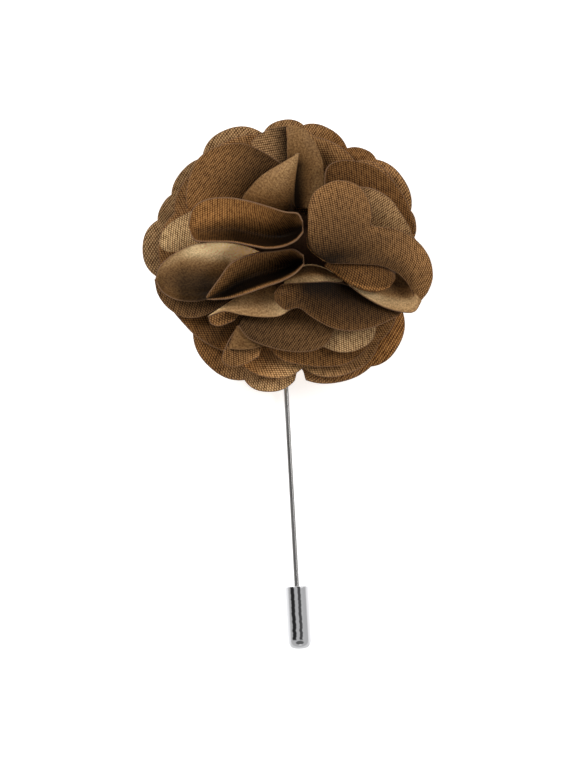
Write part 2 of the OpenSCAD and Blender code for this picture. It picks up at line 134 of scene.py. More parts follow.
def finish(name, colour, roughness, **sockets):
    """A new material: its start for shader maths, and its main shader."""
    made = bpy.data.materials.new(name)
    made.use_nodes = True
    shader = made.node_tree.nodes["Principled BSDF"]
    shader.inputs["Base Color"].default_value = (*colour, 1)
    shader.inputs["Roughness"].default_value = roughness
    for socket, value in sockets.items():
        shader.inputs[socket.replace("_", " ")].default_value = value
    return made, Shade(made.node_tree), shader


# The table is a plain white sheet that glows a little, under three large soft lights: the
# main one from the upper left, a weaker one from the right and one from below, in a white room.
bpy.ops.object.select_all(action="DESELECT")
bpy.ops.mesh.primitive_plane_add(size=4, location=(0, 0, 0))
table = bpy.context.active_object
table.name = "table"
table_white, shade, shader = finish("table_white", (0.93, 0.93, 0.93), 0.9)
grain = shade.noise(shade.node("ShaderNodeTexCoord", output=3), 40.0)
shade.give(shader.inputs["Base Color"], grain.blend((0.92, 0.92, 0.92, 1), (0.94, 0.94, 0.94, 1)))
shader.inputs["Emission Color"].default_value = (1, 1, 1, 1)
shader.inputs["Emission Strength"].default_value = 0.6
table.data.materials.append(table_white)

world = bpy.data.worlds.new("white_room")
world.use_nodes = True
bpy.context.scene.world = world
world.node_tree.nodes["Background"].inputs["Color"].default_value = (1, 1, 1, 1)
world.node_tree.nodes["Background"].inputs["Strength"].default_value = 0.22

# Name, place and size in metres, and watts.
soft_lights = [
    ("key", (-1.0, 0.9, 1.15), 0.7, 20),
    ("fill", (1.15, 0.35, 1.1), 0.7, 10),
    ("low", (0.1, -1.3, 1.0), 0.6, 4),
]
for name, place, size, power in soft_lights:
    lamp = bpy.data.lights.new(name, "AREA")
    lamp.size = size
    lamp.energy = power
    lamp_object = bpy.data.objects.new(name, lamp)
    lamp_object.location = place
    lamp_object.rotation_euler = (-Vector(place)).to_track_quat("-Z", "Y").to_euler()
    bpy.context.scene.collection.objects.link(lamp_object)


# The needle is a hard steel wire, drawn and lightly polished, with fine scratches along it.
# It is glued into the felt backing and its long point goes into the cap.
steel, shade, shader = finish("steel", (0.32, 0.31, 0.30), 0.3, Metallic=1.0)
place = shade.node("ShaderNodeTexCoord", output=3)
scratches = shade.noise(shade.stretched(place, (9000, 60, 9000)), 1.0, 3.0)
shade.give(shader.inputs["Roughness"], scratches.ramp(0.3, 0.8, 0.2, 0.42))
drawn = scratches.blend((0.27, 0.265, 0.26, 1), (0.42, 0.41, 0.40, 1))
shade.give(shader.inputs["Base Color"], drawn)
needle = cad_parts["needle"]
needle.data.materials.clear()
needle.data.materials.append(steel)

# The cap is a pressed brass barrel with a bright chrome plate, which grips the needle inside.
# The plate mirrors the pale room, and its pattern is a painted reflection, drawn into its
# colour and into a glow: two dark wavy lines run down the barrel and stop short of its end,
# where one dull spot lies in the middle, and it is brighter towards each side.
cap_r = 2.05 * MM
cap_end = -69.1 * MM
cap_axis = 2.05 * MM
chrome, shade, shader = finish("chrome", (0.45, 0.45, 0.46), 0.12, Metallic=1.0)
place = shade.node("ShaderNodeTexCoord", output=3)
side = shade.node("ShaderNodeSeparateXYZ", {0: place}, 0) * (1 / cap_r)
down = (shade.node("ShaderNodeSeparateXYZ", {0: place}, 1) - cap_end) * (1 / cap_r)
up = (shade.node("ShaderNodeSeparateXYZ", {0: place}, 2) - cap_axis) * (1 / cap_r)
barrel = (side * side + up * up).ramp(0.75, 0.9)
ripple = shade.noise(shade.stretched(place, (0, 900, 0)), 1.0, 3.0)
waved = side + (ripple - 0.5) * 0.35
# Painted reflection: two dark wavy lines and a dull spot, brighter towards each side.
left_line = waved.ramp(-0.62, -0.50) - waved.ramp(-0.30, -0.18)
right_line = waved.ramp(0.0, 0.08) - waved.ramp(0.24, 0.34)
lines = (left_line * 0.95 + right_line * 0.85) * down.ramp(0.7, 0.85) * barrel
from_spot = down - 0.55
spot = (side * side * 7.0 + from_spot * from_spot * 30.0).ramp(0.5, 1.1, 0.75, 0.0)
painted_reflection = (0.46 + side.size().ramp(0.7, 0.85) * 0.2) * (1 - lines) * (1 - spot)
reflection_black, reflection_white = (0, 0, 0, 1), (1, 1, 1.02, 1)
shade.give(shader.inputs["Base Color"], (painted_reflection * 0.3).blend(reflection_black, reflection_white))
# The plate glows with this painted reflection, though it is no lamp.
shade.give(shader.inputs["Emission Color"], painted_reflection.blend(reflection_black, reflection_white))
shader.inputs["Emission Strength"].default_value = 0.8
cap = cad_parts["cap"]
cap.data.materials.clear()
cap.data.materials.append(chrome)

# The backing is a round of thick dark felt that covers the sewing and holds the needle.
# Its cut edges are slightly rounded and its face is a mat of short fibres.
backing_r = 12 * MM
backing_t = 4 * MM
felt, shade, shader = finish("felt", (0.05, 0.03, 0.018), 0.95)
place = shade.node("ShaderNodeTexCoord", output=3)
fibres = shade.noise(place, 2600.0, 6.0, 0.7)
clumps = shade.noise(place, 500.0, 3.0)
mat = (fibres * 0.7 + clumps * 0.3).ramp(0.35, 0.65)
shade.give(shader.inputs["Base Color"], mat.blend((0.03, 0.017, 0.01, 1), (0.085, 0.05, 0.03, 1)))
shader.inputs["Sheen Weight"].default_value = 0.4
bump = shade.node("ShaderNodeBump", {"Strength": 0.6, "Distance": 0.0002, "Height": fibres})
shade.give(shader.inputs["Normal"], bump)
bpy.ops.object.select_all(action="DESELECT")
bpy.ops.mesh.primitive_cylinder_add(
    vertices=96, radius=backing_r, depth=backing_t, location=(0, 0, backing_t / 2)
)
backing = bpy.context.active_object
backing.name = "felt_backing"
bpy.ops.object.mode_set(mode="EDIT")
bpy.ops.mesh.select_all(action="SELECT")
bpy.ops.mesh.bevel(offset=0.45 * MM, segments=4)
bpy.ops.object.mode_set(mode="OBJECT")
bpy.ops.object.transform_apply(location=True, rotation=True, scale=True)
bpy.ops.object.shade_smooth_by_angle(angle=math.radians(40))
backing.data.materials.append(felt)
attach(backing, "flower")
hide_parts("backing")

# Every layer of the flower is a satin: its face is woven of orange-brown threads with paler
# ones across, and its reverse is smooth and light tan. A hot knife cuts the layers and seals
# their edges. Each layer carries painted shade and highlights in its threads' colour: darker in
# its hollows and folds and under the petals above, where shade falls, and lighter on lit bands
# and along some edges. It carries a warmth too, which shifts its threads from khaki to
# orange-brown as the satin's sheen would: a painted sheen.
column_pitch = 0.4 * MM
row_pitch = 0.36 * MM


def weave(shade):
    """Columns of bright dots where the cross threads pass over, each half a step lower."""
    flat = shade.node("ShaderNodeUVMap", uv_map="flat")
    across = shade.node("ShaderNodeSeparateXYZ", {0: flat}, 0)
    along = shade.node("ShaderNodeSeparateXYZ", {0: flat}, 1)
    columns = (across * (math.pi / column_pitch)).sine()
    rows = (along * (math.pi / row_pitch) + across * (math.pi / 2 / column_pitch)).sine()
    return flat, (columns * columns * 0.85 + 0.15) * (rows * rows * 0.85 + 0.15)


def carried(shade, name):
    """A value that the layers carry at each point: rim, warmth, or painted shade and highlights."""
    return shade.node("ShaderNodeAttribute", output=2, attribute_name=name)


def sealed(shade):
    """1 along the rim of a layer, 0 from a quarter of a millimetre inwards."""
    return carried(shade, "rim").ramp(0.1, 0.24, 1.0, 0.0)


satin_face, shade, shader = finish("satin_face", (0.17, 0.085, 0.035), 0.6, Specular_IOR_Level=0.06)
flat, dots = weave(shade)
slubs = shade.noise(shade.stretched(flat, (1900, 1100, 1)), 1.0, 2.0)
cloud = shade.noise(flat, 130.0, 2.0)
# The warmth is a painted sheen. Each layer's painted shade and highlights scale the threads' colour, and
# where a layer is painted brightest its pale threads turn a little less orange.
warmth = carried(shade, "warmth")
painted_light = carried(shade, "painted_light")
thread_tone = dots.ramp(0.08, 0.8) * 0.88 + slubs.ramp(0.3, 0.7) * 0.34 - 0.02
dark = warmth.blend((0.050, 0.023, 0.009, 1), (0.052, 0.019, 0.005, 1))
cool_pale = painted_light.ramp(1.2, 2.2).blend((0.42, 0.252, 0.118, 1), (0.42, 0.275, 0.13, 1))
pale = warmth.blend(cool_pale, (0.43, 0.200, 0.062, 1))
painted_lit = (painted_light * (0.8 + 0.4 * cloud)).times_colour(thread_tone.blend(dark, pale))
shade.give(shader.inputs["Base Color"], (sealed(shade) * 0.6).blend(painted_lit, (0.20, 0.112, 0.06, 1)))
bump = shade.node("ShaderNodeBump", {"Strength": 0.35, "Distance": 0.00006, "Height": dots})
shade.give(shader.inputs["Normal"], bump)

satin_reverse, shade, shader = finish("satin_reverse", (0.42, 0.27, 0.14), 0.5, Specular_IOR_Level=0.08)
flat, dots = weave(shade)
slubs = shade.noise(shade.stretched(flat, (900, 2800, 1)), 1.0, 3.0)
grains = shade.noise(flat, 3000.0, 2.0, 0.6)
# Painted shade and highlights scale the reverse too. Where it is painted brightest its threads turn paler
# and less orange, and its sealed line shows more, so the lit bands read tan.
painted_light = carried(shade, "painted_light")
thread_tone = dots * 0.2 + slubs.ramp(0.25, 0.75) * 0.3 + grains.ramp(0.36, 0.64) * 0.5
open_light = painted_light.ramp(0.3, 1.9)
dark = open_light.blend((0.17, 0.068, 0.020, 1), (0.29, 0.2, 0.095, 1))
pale = open_light.blend((0.60, 0.32, 0.115, 1), (0.62, 0.445, 0.24, 1))
painted_lit = painted_light.times_colour(thread_tone.blend(dark, pale))
seal = sealed(shade) * painted_light.ramp(0.02, 0.4, 0.1, 0.5)
shade.give(shader.inputs["Base Color"], seal.blend(painted_lit, (0.22, 0.12, 0.055, 1)))
bump = shade.node("ShaderNodeBump", {"Strength": 0.2, "Distance": 0.00005, "Height": slubs})
shade.give(shader.inputs["Normal"], bump)

sealed_edge, shade, shader = finish("sealed_edge", (0.14, 0.07, 0.032), 0.6, Specular_IOR_Level=0.1)
melt = shade.noise(shade.node("ShaderNodeTexCoord", output=3), 1500.0, 3.0)
shade.give(shader.inputs["Base Color"], melt.blend((0.13, 0.066, 0.03, 1), (0.25, 0.14, 0.075, 1)))

# Two scalloped discs of satin lie under the petals, sewn together through their middle.
# Each lobe cups up a little between the notches, so the rims wave.
cloth_t = 0.25 * MM
sewn_x = 3.55
# Where the materials of a layer start in a piece's list.
FACE_UP, REVERSE_UP = 0, 3


def places_across(both_edges, steps=30):
    """Places from a rim inwards, 0 to 1, close together where the sealed edge needs it."""
    near = np.array([0, 0.008, 0.018, 0.035])
    if both_edges:
        return np.concatenate([near, np.linspace(0.06, 0.94, steps), 1 - near[::-1]])
    return np.concatenate([near, np.linspace(0.06, 1, steps)])


def disc(rows, hole_z, warmth, painted_light, hole_r=3.6, roundness=2.6, cup=1.2, steps=26):
    """A scalloped disc as a layer of cloth, from its table in mm, with steps to each lobe.

    roundness is how square the lobes are, and cup how late the disc rises towards its rim.
    """
    grid = []
    inwards = places_across(False, 24)
    for i, (azimuth, notch, notch_z, lobe, lobe_z) in enumerate(rows):
        after = rows[(i + 1) % len(rows)]
        turn = (after[0] - azimuth) % 360
        for s in np.arange(steps) / steps:
            a = math.radians(azimuth + s * turn)
            swell = 1 - abs(2 * s - 1) ** roundness
            reach = notch + s * (after[1] - notch) + swell * (lobe - (notch + after[1]) / 2)
            rise = math.sin(math.pi * s) ** 2 * (lobe_z - (notch_z + after[2]) / 2)
            z = notch_z + s * (after[2] - notch_z) + rise
            d = hole_r + (1 - inwards) * (reach - hole_r)
            height = hole_z + (z - hole_z) * (1 - inwards) ** cup
            grid.append(np.stack([d * math.cos(a), d * math.sin(a), height], 1))
    return np.array(grid), True, FACE_UP, False, warmth, painted_light


def flat_pattern(piece, spans, angle):
    """Lays each layer of the piece out flat, in metres, with its threads at the angle.

    Gives the flat width, length and area of each layer.
    """
    bpy.ops.object.select_all(action="DESELECT")
    piece.select_set(True)
    bpy.context.view_layer.objects.active = piece
    piece.data.uv_layers.new(name="flat")
    bpy.ops.object.mode_set(mode="EDIT")
    bpy.ops.mesh.select_all(action="SELECT")
    bpy.ops.uv.unwrap(method="MINIMUM_STRETCH", iterations=12, margin=0)
    bpy.ops.object.mode_set(mode="OBJECT")
    mesh = piece.data
    uv = np.zeros(len(mesh.loops) * 2)
    mesh.uv_layers["flat"].data.foreach_get("uv", uv)
    uv = uv.reshape(-1, 2)
    vertex = np.zeros(len(mesh.loops), int)
    mesh.loops.foreach_get("vertex_index", vertex)
    place = np.array([v.co for v in mesh.vertices])
    quads = np.array([f.vertices for f in mesh.polygons])
    at = np.zeros((len(place), 2))
    at[vertex] = uv
    sizes = []
    for low, high in spans:
        a, b, c, d = quads[(quads[:, 0] >= low) & (quads[:, 0] < high)].T
        crossed = np.cross(place[c] - place[a], place[d] - place[b])
        area = np.linalg.norm(crossed, axis=1).sum() / 2
        one, other = at[c] - at[a], at[d] - at[b]
        laid = abs((one[:, 0] * other[:, 1] - one[:, 1] * other[:, 0]).sum()) / 2
        layer = (at[low:high] - at[low:high].mean(0)) * math.sqrt(area / laid)
        seen = place[low:high, :2] - place[low:high, :2].mean(0)
        twist = (layer[:, 0] * seen[:, 1] - layer[:, 1] * seen[:, 0]).sum()
        turn = np.arctan2(twist, (layer * seen).sum()) + angle
        cosine, sine = math.cos(turn), math.sin(turn)
        at[low:high] = layer @ np.array([[cosine, sine], [-sine, cosine]])
        sizes.append((*np.ptp(at[low:high], axis=0), area))
    mesh.uv_layers["flat"].data.foreach_set("uv", at[vertex].ravel())
    return sizes


nowhere = ((0, 0), (1, 0))


def tones(level, dark_across=nowhere, dark_along=((0, 1), (1, 1)), edge=nowhere, lean=0):
    """Painted shade and highlights, or warmth, of a layer from place to place, as pairs of a place and a
    value.

    Places run from 0 to 1 along the layer, or across it from the rim inwards. level is the
    value along the layer. dark_across is the share that the sections lose from the rim
    inwards, as painted shade in hollows, folds and under other petals; below 0 it adds a
    painted highlight instead. dark_along scales that loss along the layer. edge is a painted
    highlight added near the inner edge, and lean lets the loss start nearer to the rim towards
    the end.
    """

    def tone(along, across):
        leaned = across + lean * (along - 0.5) * 4 * across * (1 - across)
        painted_shade = np.interp(leaned, *zip(*dark_across)) * np.interp(along, *zip(*dark_along))
        painted_edge_highlight = np.interp(across, (0.86, 0.9), (0, 1)) * np.interp(along, *zip(*edge))
        return np.interp(along, *zip(*level)) * (1 - painted_shade) + painted_edge_highlight

    return tone


def spread(value, along, across):
    """A warmth or a painted shade and highlight at each point of a layer, given as one number or as
    tones.
    """
    if callable(value):
        return value(along, across)
    return np.full(across.shape, value)


def quad_rows(sections, points, closed, start=0):
    """The quads between sections of so many points each, the last joined to the first if closed."""
    quads = []
    for i in range(sections if closed else sections - 1):
        here, after = start + i * points, start + (i + 1) % sections * points
        quads += [(here + j, here + j + 1, after + j + 1, after + j) for j in range(points - 1)]
    return quads


def cloth(name, nodes, weave_angle, layers):
    """One cut piece of satin from its layers, as petal and disc give them.

    nodes are the solids that it stands for, and weave_angle turns its threads, in degrees.
    """
    vertices, faces, sides, spans, values = [], [], [], [], []
    for grid, closed, side, both_edges, warmth, painted_light in layers:
        m, n = grid.shape[:2]
        start = len(vertices)
        step = np.linalg.norm(np.diff(grid, axis=1), axis=2)
        inwards = np.concatenate([np.zeros((m, 1)), np.cumsum(step, axis=1)], axis=1)
        rim = np.minimum(inwards, inwards[:, -1:] - inwards) if both_edges else inwards
        along = np.linspace(0, 1, m)[:, None]
        across = inwards / inwards[:, -1:]
        warm, glow = spread(warmth, along, across), spread(painted_light, along, across)
        values += list(zip(rim.ravel(), warm.ravel(), glow.ravel()))
        vertices += list(grid.reshape(-1, 3))
        quads = quad_rows(m, n, closed, start)
        middle = (m // 2, n // 3)
        normal = np.cross(
            grid[middle[0], middle[1] + 1] - grid[middle],
            grid[middle[0] + 1, middle[1]] - grid[middle],
        )
        if normal[2] < 0:
            quads = [q[::-1] for q in quads]
        faces += quads
        sides += [side] * len(quads)
        spans.append((start, len(vertices)))
    cosine, sine = math.cos(flower_turn), math.sin(flower_turn)
    turned = np.array(vertices) @ np.array([[cosine, sine, 0], [-sine, cosine, 0], [0, 0, 1]])
    mesh = bpy.data.meshes.new(name)
    mesh.from_pydata((turned + [sewn_x, 0, 0]) * MM, [], faces)
    mesh.polygons.foreach_set("material_index", sides)
    for number, attribute in enumerate(("rim", "warmth", "painted_light")):
        made = mesh.attributes.new(attribute, "FLOAT", "POINT")
        made.data.foreach_set("value", [v[number] for v in values])
    face_up = (satin_face, satin_reverse, sealed_edge)
    reverse_up = (satin_reverse, satin_face, sealed_edge)
    for material in face_up + reverse_up:
        mesh.materials.append(material)
    mesh.shade_smooth()
    piece = bpy.data.objects.new(name, mesh)
    bpy.context.scene.collection.objects.link(piece)
    sizes = flat_pattern(piece, spans, math.radians(weave_angle))
    wall = piece.modifiers.new("wall", "SOLIDIFY")
    wall.thickness = cloth_t
    wall.offset = 0
    wall.material_offset = 1
    wall.material_offset_rim = 2
    bpy.ops.object.modifier_apply(modifier=wall.name)
    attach(piece, "flower")
    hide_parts(*nodes)
    "satin_face" if layers[0][2] == FACE_UP else "satin_reverse"


# Columns: notch azimuth in degrees, notch reach, notch z, lobe reach, lobe z, in mm.
disc_back_rows = [
    [7, 20.2, 6.4, 20.9, 6.8],
    [20, 20.7, 6.2, 22.1, 7.2],
    [50, 20.9, 6.2, 21.1, 6.8],
    [65, 19.8, 6.3, 22.0, 7.3],
    [88, 22.0, 6.6, 23.0, 7.4],
    [107, 21.5, 6.2, 24.7, 7.6],
    [136, 23.4, 6.4, 24.7, 7.4],
    [156, 24.3, 6.3, 25.2, 7.0],
    [167.5, 25.2, 6.2, 27.2, 7.6],
    [190, 25.2, 6.3, 24.4, 6.8],
    [217, 23.1, 6.2, 25.4, 7.3],
    [247, 24.3, 6.3, 25.0, 7.4],
    [268, 22.5, 6.8, 20.4, 6.6],
    [273, 22.4, 6.8, 23.8, 7.3],
    [302, 23.6, 6.3, 23.9, 7.2],
    [330, 20.8, 6.3, 21.5, 7.0],
]
disc_front_rows = [
    [3, 18.8, 8.4, 20.2, 9.2],
    [30, 19.3, 8.2, 20.6, 9.0],
    [58, 18.4, 8.2, 19.6, 9.0],
    [82, 20.0, 8.4, 21.4, 9.2],
    [104, 20.2, 8.2, 22.8, 9.2],
    [140, 22.4, 8.2, 23.4, 9.0],
    [163, 22.6, 8.2, 24.4, 8.8],
    [192, 23.2, 8.2, 23.9, 8.8],
    [213, 23.6, 8.2, 22.6, 8.8],
    [238, 21.0, 8.2, 22.6, 9.0],
    [272, 20.2, 8.2, 22.9, 9.0],
    [312, 20.8, 8.2, 20.6, 8.8],
    [335, 18.6, 8.2, 19.4, 9.0],
]
# Painted shade and highlights around each disc: darker where the petals above shade it and lighter where
# it lies open. The warmth tables around each disc are a painted sheen.
under = tones(
    level=(
        (0, 1.7), (0.06, 1.9), (0.125, 1.4), (0.19, 1.0), (0.23, 1.3), (0.35, 1.6), (0.55, 1.6),
        (0.575, 1.1), (0.59, 0.6), (0.605, 0.7), (0.62, 1.1), (0.65, 1.0), (0.68, 1.0), (0.705, 1.9),
        (0.75, 2.0), (0.79, 1.5), (0.84, 1.1), (0.875, 1.3), (0.9, 1.8), (1, 1.6),
    ),
    dark_across=((0, 0), (0.06, 0.05), (0.2, 0.45), (0.5, 0.7)),
)
warm_under = tones(
    level=(
        (0, 0.6), (0.1, 0.5), (0.19, 1), (0.25, 0.4), (0.35, 0), (0.58, 0), (0.65, 1.1), (0.69, 0.2),
        (0.78, 0.1), (0.9, 1.1), (1, 0.6),
    ),
)
over = tones(
    level=(
        (0, 1.5), (0.15, 1.3), (0.3, 1.5), (0.5, 1.4), (0.555, 0.65), (0.575, 0.35), (0.6, 0.55),
        (0.615, 1.0), (0.64, 0.6), (0.66, 0.4), (0.675, 0.8), (0.69, 1.9), (0.72, 2.1), (0.77, 2.2),
        (0.82, 1.2), (0.85, 1.05), (0.9, 1.3), (1, 1.5),
    ),
    dark_across=((0, 0), (0.06, 0.05), (0.2, 0.45), (0.5, 0.7)),
)
warm_over = tones(
    level=((0, 0.7), (0.5, 0.5), (0.62, 1.1), (0.7, 1.1), (0.76, 0.3), (0.85, 0.7), (1, 0.7)),
)
cloth("satin_disc_back", ["disc_back"], 35, [
    disc(disc_back_rows, 4.9, warmth=warm_under, painted_light=under),
])
cloth("satin_disc_front", ["disc_front"], -20, [
    disc(disc_front_rows, 6.5, warmth=warm_over, painted_light=over),
])

# The middle is gathered into pleats and drawn down with thread through the discs.
# It is a firm knot of the same satin, seen only in the gaps between the petals, and it is
# coloured far darker than the satin: painted shade of those gaps.
# Columns of its profile: radius and height, in mm.
core_profile = [
    [0.05, 11.7],
    [2.0, 11.55],
    [4.2, 10.9],
    [6.2, 9.6],
    [6.8, 8.6],
    [6.0, 8.3],
    [3.0, 8.25],
    [2.7, 7.6],
    [2.7, 4.3],
    [0.05, 4.2],
]
knot_turns = 96
knot_rings = 73
pleat_count = 13


def curve(points, at):
    """The smooth curve through points, at each place along it: 0 is the first point."""
    p = np.concatenate([2 * points[:1] - points[1:2], points, 2 * points[-1:] - points[-2:-1]])
    i = np.minimum(at.astype(int), len(p) - 4)
    t = (at - i).reshape([-1] + [1] * (p.ndim - 1))
    a, b, c, d = p[i], p[i + 1], p[i + 2], p[i + 3]
    bend = 2 * a - 5 * b + 4 * c - d
    twist = 3 * b - a - 3 * c + d
    return 0.5 * (2 * b + (c - a) * t + bend * t**2 + twist * t**3)


turns = np.linspace(0, 2 * math.pi, knot_turns + 1)[:-1]
profile = curve(np.array(core_profile), np.linspace(0, len(core_profile) - 1, knot_rings))
pleats = 1 + 0.05 * np.sin(turns * pleat_count)[:, None] * np.minimum(1, profile[:, 0] / 4)
knot = np.stack([
    sewn_x + profile[:, 0] * pleats * np.cos(turns)[:, None],
    profile[:, 0] * pleats * np.sin(turns)[:, None],
    np.broadcast_to(profile[:, 1], pleats.shape),
], axis=2) * MM
lid = [i * knot_rings for i in range(knot_turns)]
base = [i * knot_rings + knot_rings - 1 for i in reversed(range(knot_turns))]
mesh = bpy.data.meshes.new("gathered_knot")
mesh.from_pydata(knot.reshape(-1, 3), [], quad_rows(knot_turns, knot_rings, True) + [lid, base])
mesh.shade_smooth()
# Painted shade: the knot's colour is far darker than the satin's.
shaded_knot_cloth, shade, shader = finish("shaded_knot_cloth", (0.02, 0.01, 0.005), 0.8, Specular_IOR_Level=0.05)
place = shade.node("ShaderNodeTexCoord", output=3)
strands = shade.noise(place, 1800.0, 4.0)
shade.give(shader.inputs["Base Color"], strands.blend((0.017, 0.008, 0.004, 1), (0.055, 0.026, 0.012, 1)))
mesh.materials.append(shaded_knot_cloth)
core = bpy.data.objects.new("gathered_knot", mesh)
bpy.context.scene.collection.objects.link(core)
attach(core, "flower")
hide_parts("core")

# The right petal folds over itself: its broad face falls to the right, a tongue of it turns
# in, and its lower edge turns over to show the tan reverse. Like every petal it is a cut of
# satin, sewn down by its inner end at the knot.
rows_per_section = 10


def petal(rows, side, warmth, painted_light, way=(0, 0), both_edges=False, bend_at=0.5):
    """A petal as a layer of cloth, from its table in mm: its sections run from the rim inwards.

    way is the sideways step of a fold, bend_at how far in from the rim the middle lies, and
    both_edges says that the inner ends of the sections are a cut edge too.
    """
    rows = np.array(rows, float)
    rim, inner = rows[:, 0:3], rows[:, 4:7]
    lift = rows[:, 3:4] * [0, 0, 1]
    lines = [rim, rim + bend_at * (inner - rim) + lift, inner]
    if rows.shape[1] > 7:
        lines.append(inner + np.array([*way, 0]) - rows[:, 7:8] * [0, 0, 1])
    lines = np.stack(lines)
    along = np.linspace(0, len(rows) - 1, rows_per_section * (len(rows) - 1) + 1)
    lines = np.stack([curve(line, along) for line in lines])
    grid = curve(lines, places_across(both_edges) * (len(lines) - 1)).transpose(1, 0, 2)
    return grid, False, side, both_edges, warmth, painted_light


# Each row of a petal's table is a section, seen from the front with the sewn point at 0, 0
# and heights from the floor, in mm:
# rim x, rim y, rim z, lift of the middle, inner x, inner y, inner z, depth of the fold.
petal_right_rows = [
    [1.65, 5.6, 21.2, 0.0, 1.7, 3.6, 21.4, 6.0],
    [1.75, 7.8, 21.2, 0.6, 1.6, 2.4, 22.0, 6.5],
    [3.0, 10.3, 21.0, 0.8, 1.8, 1.5, 22.2, 6.5],
    [6.5, 12.0, 20.4, 1.0, 2.3, 0.8, 22.2, 6.5],
    [10.0, 11.2, 19.5, 1.0, 3.1, 0.1, 22.0, 6.0],
    [11.9, 8.8, 18.8, 1.0, 4.0, -0.6, 21.6, 4.0],
    [12.5, 6.4, 18.6, 1.0, 4.8, -1.1, 21.2, 2.2],
    [12.6, 4.3, 18.4, 1.0, 5.9, -1.4, 20.6, 1.2],
    [16.8, 3.7, 16.9, 1.0, 8.0, -1.4, 19.6, 0.9],
    [20.2, 1.8, 15.3, 1.0, 11.0, -1.5, 18.2, 0.8],
    [22.4, -1.0, 13.9, 1.0, 14.4, -1.8, 16.8, 0.8],
    [23.1, -4.2, 13.1, 0.7, 17.3, -3.1, 15.2, 0.7],
    [22.4, -6.8, 13.0, 0.3, 19.2, -5.1, 14.2, 0.5],
    [21.2, -8.5, 12.9, 0.0, 20.0, -7.2, 13.4, 0.3],
]
petal_right_tongue_rows = [
    [4.8, -1.7, 17.4, 0.1, 4.8, -2.1, 17.7, 0.6],
    [6.2, -1.7, 16.9, 0.5, 6.5, -3.3, 17.7, 0.9],
    [8.3, -1.5, 16.3, 0.8, 8.6, -4.9, 17.4, 0.7],
    [11.2, -1.4, 15.4, 1.1, 11.2, -6.2, 16.6, 0.5],
    [14.1, -1.8, 14.2, 1.1, 13.7, -6.6, 15.6, 0.4],
    [15.9, -2.6, 13.6, 0.8, 15.6, -6.0, 14.7, 0.4],
    [16.6, -3.7, 13.2, 0.3, 16.5, -4.9, 13.8, 0.3],
]
petal_right_turn_rows = [
    [8.7, -6.0, 15.7, 0.0, 7.1, -3.0, 14.3],
    [11.4, -8.0, 14.7, -0.6, 8.8, -2.6, 13.6],
    [14.6, -9.7, 13.7, -0.9, 11.0, -2.4, 12.7],
    [17.8, -10.6, 12.7, -0.9, 13.6, -2.4, 11.8],
    [20.0, -10.5, 12.1, -0.7, 17.0, -2.6, 11.1],
    [21.2, -8.7, 11.7, -0.3, 20.5, -3.4, 10.8],
]
# Painted shade darkens the right petal towards its inner fold, and a painted highlight runs along the
# foot of the fold near its upper end.
cloth("petal_right_sheet", ["petal_right"], 4, [
    petal(
        petal_right_rows, FACE_UP, way=(-0.2, -0.8), both_edges=True, warmth=0.7,
        painted_light=tones(
            level=(
                (0, 0.93), (0.2, 1.12), (0.35, 1.15), (0.5, 0.93), (0.62, 0.9), (0.72, 1.2),
                (0.8, 1.35), (0.9, 1.25), (1, 1.15),
            ),
            dark_across=(
                (0, 0), (0.12, 0.08), (0.3, 0.3), (0.45, 0.42), (0.62, 0.65), (0.8, 0.9), (1, 0.9),
            ),
            dark_along=((0, 0.9), (0.2, 1), (0.55, 1), (0.68, 0.65), (0.85, 0.6), (1, 0.6)),
            edge=((0, 2.5), (0.4, 2.5), (0.47, 0), (1, 0)),
        ),
    ),
])
# Painted shade darkens the tongue along its top, under the fold, and a thin painted highlight runs near
# its lower edge. The turned edge is painted brightest at its left end and darker inwards.
cloth("petal_right_tongue_sheet", ["petal_right_tongue", "petal_right_turn"], 15, [
    petal(
        petal_right_tongue_rows, FACE_UP, way=(-0.5, -0.5), warmth=1.0,
        painted_light=tones(
            level=((0, 0.52), (0.5, 0.64), (1, 0.6)),
            dark_across=((0, 0.6), (0.3, 0), (0.8, 0), (0.87, -1.2), (0.94, 0)),
        ),
    ),
    petal(
        petal_right_turn_rows, REVERSE_UP, warmth=0.5,
        painted_light=tones(
            level=((0, 2.8), (0.2, 1.8), (0.5, 1.35), (1, 1.2)),
            dark_across=((0, 0.3), (0.12, 0.15), (0.25, 0.05), (0.4, 0.6), (0.6, 0.87), (1, 0.82)),
        ),
    ),
])

# Behind it two more petals lean out in steps towards the upper right. Both are plain cuts of
# satin that belly up a little, sewn at the knot under the right one.
petal_right_mid_rows = [
    [10.4, 11.0, 16.8, 0.3, 3.8, 5.4, 13.4],
    [13.0, 10.6, 16.3, 0.9, 4.6, 4.7, 13.2],
    [15.8, 8.9, 15.4, 1.2, 5.3, 3.9, 13.0],
    [17.8, 6.2, 14.3, 1.2, 5.9, 2.9, 12.8],
    [19.2, 3.9, 13.2, 1.0, 6.4, 1.7, 12.6],
    [20.0, 1.9, 12.0, 0.6, 6.7, 0.4, 12.4],
]
petal_right_back_rows = [
    [4.4, 10.6, 14.6, 0.2, 3.2, 6.8, 11.8],
    [4.6, 13.7, 14.6, 0.6, 3.7, 6.6, 11.6],
    [5.8, 15.2, 14.2, 0.9, 4.3, 6.3, 11.5],
    [8.6, 15.7, 13.8, 1.2, 5.0, 5.8, 11.4],
    [12.7, 14.8, 13.3, 1.2, 5.8, 5.0, 11.3],
    [16.1, 12.3, 12.8, 1.2, 6.6, 4.0, 11.2],
    [18.5, 8.9, 12.1, 1.1, 7.2, 2.8, 11.1],
    [19.7, 5.8, 11.2, 1.0, 7.6, 1.5, 11.0],
    [20.2, 3.1, 10.4, 0.6, 7.8, 0.2, 10.9],
]
